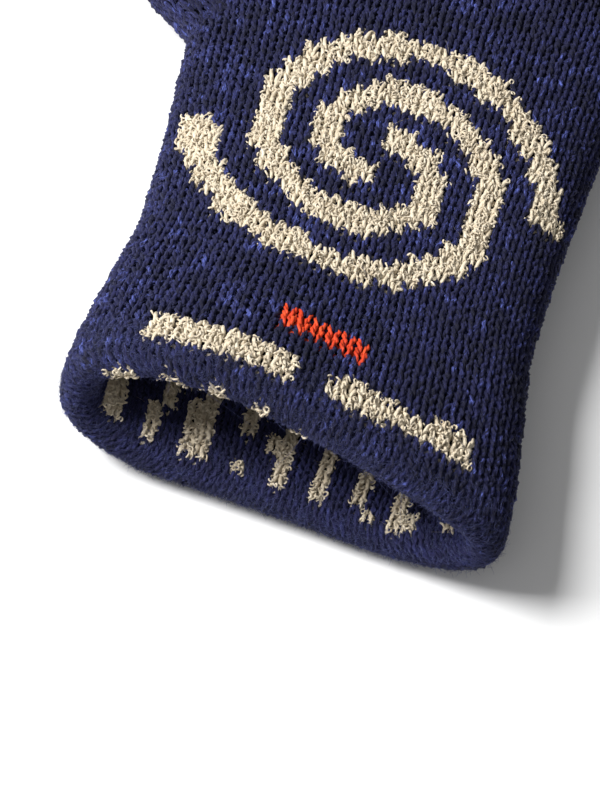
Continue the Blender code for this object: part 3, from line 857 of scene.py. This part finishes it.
PANELS = {
    ("cuff", "back"): ("cuff_back_panel",),
    ("cuff", "palm"): ("cuff_palm_panel",),
    ("wrist", "back"): ("wrist_fold",),
    ("wrist", "palm"): ("wrist_thumb_side_seam",),
    ("hand", "back"): ("hand_back_panel", "knuckle_fold"),
    ("hand", "palm"): ("hand_palm_panel",),
    ("finger", "back"): ("finger_back_panel",),
    ("finger", "palm"): ("finger_palm_panel",),
    ("facing", "back"): ("cuff_back_facing",),
    ("facing", "palm"): ("cuff_palm_facing",),
}
NATURAL_NODES = {
    ("cuff", "back"): (
        "rim_band_outer_side", "rim_band_thumb_side", "cuff_spiral_first_arm_1", "cuff_spiral_second_arm_1",
    ),
    ("wrist", "back"): ("hand_spiral_first_arm_1", "hand_spiral_second_arm_1"),
}
for (zone, side_name), yarns in zone_yarns.items():
    bend = bend_knuckles if zone in ("hand", "finger") else bend_wrist
    lining = zone == "facing"
    name = f"{zone}_{side_name}"
    finish_piece(
        yarns[NAVY], f"{name}_navy_knit", FACING_WOOL if lining else NAVY_WOOL, bend,
        PANELS[zone, side_name],
    )
    if yarns[NATURAL].count:
        finish_piece(
            yarns[NATURAL], f"{name}_natural_knit", NATURAL_WOOL, bend,
            NATURAL_NODES.get((zone, side_name), ()),
        )
    if yarns[VERMILION].count:
        finish_piece(
            yarns[VERMILION], f"{name}_vermilion_knit", VERMILION_WOOL, bend,
            ("bright_bar",),
        )
THUMB_NODES = {"back": ("thumb_back_panel", "thumb_gusset"), "palm": ("thumb_palm_panel",)}
for side_name, yarns in thumb_yarns.items():
    name, nodes = f"thumb_{side_name}_navy_knit", THUMB_NODES[side_name]
    finish_piece(yarns[NAVY], name, NAVY_WOOL, bend_thumb, nodes)

MID = 0.1115  # where the cuff's pieces end and the hand's pieces begin


def outside_thumb(points):
    return ~in_thumb(points)


natural = knit.stitches[NATURAL]
facing_natural = facing_knit.stitches[NATURAL]
for name, stitches in (("back_natural_curls", natural), ("facing_natural_curls", facing_natural)):
    finish_piece(grow_curls(hand, stitches), name, NATURAL_WOOL, bend_wrist)
share, along = spread(natural + facing_natural, 1, 0.5)
draw = np.random.default_rng(51)
length = draw.uniform(0.0008, 0.0026, len(share))
stand = np.abs(draw.normal(0.5, 0.3, len(share)))
loose = grow_fibres(hand, share, along, length, stand, 0.000030, 52)
finish_piece(loose, "natural_loose_fibres", NATURAL_WOOL, bend_wrist)
for name, yarn, bend in (
    ("rim_nap", nap(hand, 26000, -0.010, 0.013, 0.0026, 61, navy_ground, 0.000030), bend_wrist),
    ("cuff_nap", nap(hand, 16000, 0.012, MID, 0.0022, 63, navy_ground, 0.000026), bend_wrist),
    ("hand_nap", nap(hand, 7500, MID, LENGTH, 0.0024, 65, navy_ground), bend_knuckles),
    ("thumb_nap", nap(thumb, 2200, 0.002, THUMB_LENGTH - 0.001, 0.0026, 67), bend_thumb),
    ("stray_hairs", stray_hairs(), bend_wrist),
):
    finish_piece(yarn, name, NAP, bend)

for name, yarn, bend, nodes in (
    ("cuff_outer_side_seam", seam(hand, 0.5, 0.003, MID, 71), bend_wrist, ("cuff_outer_seam",)),
    (
        "cuff_thumb_side_seam_yarn", seam(hand, 0.0, 0.003, MID, 72, outside_thumb), bend_wrist,
        ("cuff_thumb_side_seam",),
    ),
    (
        "hand_outer_side_seam", seam(hand, 0.5, MID, LENGTH - 0.004, 73), bend_knuckles,
        ("hand_outer_seam", "finger_outer_seam"),
    ),
    (
        "hand_thumb_side_seam_yarn", seam(hand, 0.0, MID, LENGTH - 0.004, 74, outside_thumb), bend_knuckles,
        ("hand_thumb_side_seam", "finger_thumb_side_seam"),
    ),
    ("fingertip_link", linking(hand, 0.236, LENGTH + 0.0008, 75), bend_knuckles, ("fingertip_linking",)),
    (
        "thumb_inner_side_seam", seam(thumb, 0.5, 0.006, THUMB_LENGTH - 0.003, 76), bend_thumb,
        ("thumb_inner_seam",),
    ),
    (
        "thumb_outer_side_seam", seam(thumb, 0.0, 0.004, THUMB_LENGTH - 0.003, 77), bend_thumb,
        ("thumb_outer_seam",),
    ),
    ("thumb_tip_link", linking(thumb, 0.054, THUMB_LENGTH - 0.001, 78), bend_thumb, ("thumb_tip_linking",)),
    ("hem_whip_stitches", hem(), bend_wrist, ("hem_stitching",)),
):
    finish_piece(yarn, name, LINKING, bend, nodes)

for name, cloth, low, high, bend, keep in (
    ("cuff_floats", hand, 0.001, MID + 0.001, bend_wrist, outside_thumb),
    ("facing_floats", hand, -FACING, 0.002, bend_wrist, None),
    ("hand_floats", hand, MID - 0.001, LENGTH + 0.0012, bend_knuckles, outside_thumb),
    ("thumb_floats", thumb, -0.003, THUMB_LENGTH - 0.001, bend_thumb, None),
):
    piece = floats(cloth, low, high, name, FLOATS, keep=keep)
    bend(piece)

# ---------------------------------------------------------------- stage, light and camera
bpy.ops.mesh.primitive_plane_add(size=6, location=(0, 0, -0.0006))
floor = bpy.context.object
floor.name = "floor"
floor_material, nodes, links, shader = new_material("pale paper", (0.9, 0.9, 0.9))
shader.inputs["Base Color"].default_value = (0.90, 0.90, 0.90, 1)
shader.inputs["Roughness"].default_value = 0.9
floor.data.materials.append(floor_material)

TARGET = Vector((-0.0004, RIM_Y + 0.0175, 0.015))


def area_light(name, energy, size, place, colour=(1, 1, 1)):
    lamp = bpy.data.lights.new(name, "AREA")
    lamp.energy, lamp.size, lamp.color = energy, size, colour
    light = bpy.data.objects.new(name, lamp)
    light.location = TARGET + Vector(place)
    light.rotation_euler = (-Vector(place)).to_track_quat("-Z", "Y").to_euler()
    bpy.context.scene.collection.objects.link(light)


area_light("key", 46, 0.7, (-1.12, -0.15, 1.02))
area_light("fill", 4, 1.2, (-0.3, -1.2, 1.5))
world = bpy.data.worlds.new("studio")
bpy.context.scene.world = world
world.use_nodes = True
world.node_tree.nodes["Background"].inputs[0].default_value = (1, 1, 1, 1)
world.node_tree.nodes["Background"].inputs[1].default_value = 0.20
bpy.context.scene.view_settings.view_transform = "Standard"

AZIMUTH, ELEVATION, TILT, DISTANCE = math.radians(-4), math.radians(56), math.radians(22), 0.70
back = Vector(
    (
        math.sin(AZIMUTH) * math.cos(ELEVATION),
        -math.cos(AZIMUTH) * math.cos(ELEVATION),
        math.sin(ELEVATION),
    )
)
right = Vector((0, 0, 1)).cross(back).normalized()
up = back.cross(right)
camera = bpy.data.objects.new("camera", bpy.data.cameras.new("camera"))
bpy.context.scene.collection.objects.link(camera)
picture_right = right * math.cos(TILT) + up * math.sin(TILT)
picture_up = up * math.cos(TILT) - right * math.sin(TILT)
place = TARGET + back * DISTANCE
facing = Matrix((picture_right, picture_up, back)).transposed().to_4x4()
camera.matrix_world = Matrix.Translation(place) @ facing
camera.data.lens = 160
camera.data.clip_start, camera.data.clip_end = 0.05, 20
bpy.context.scene.camera = camera
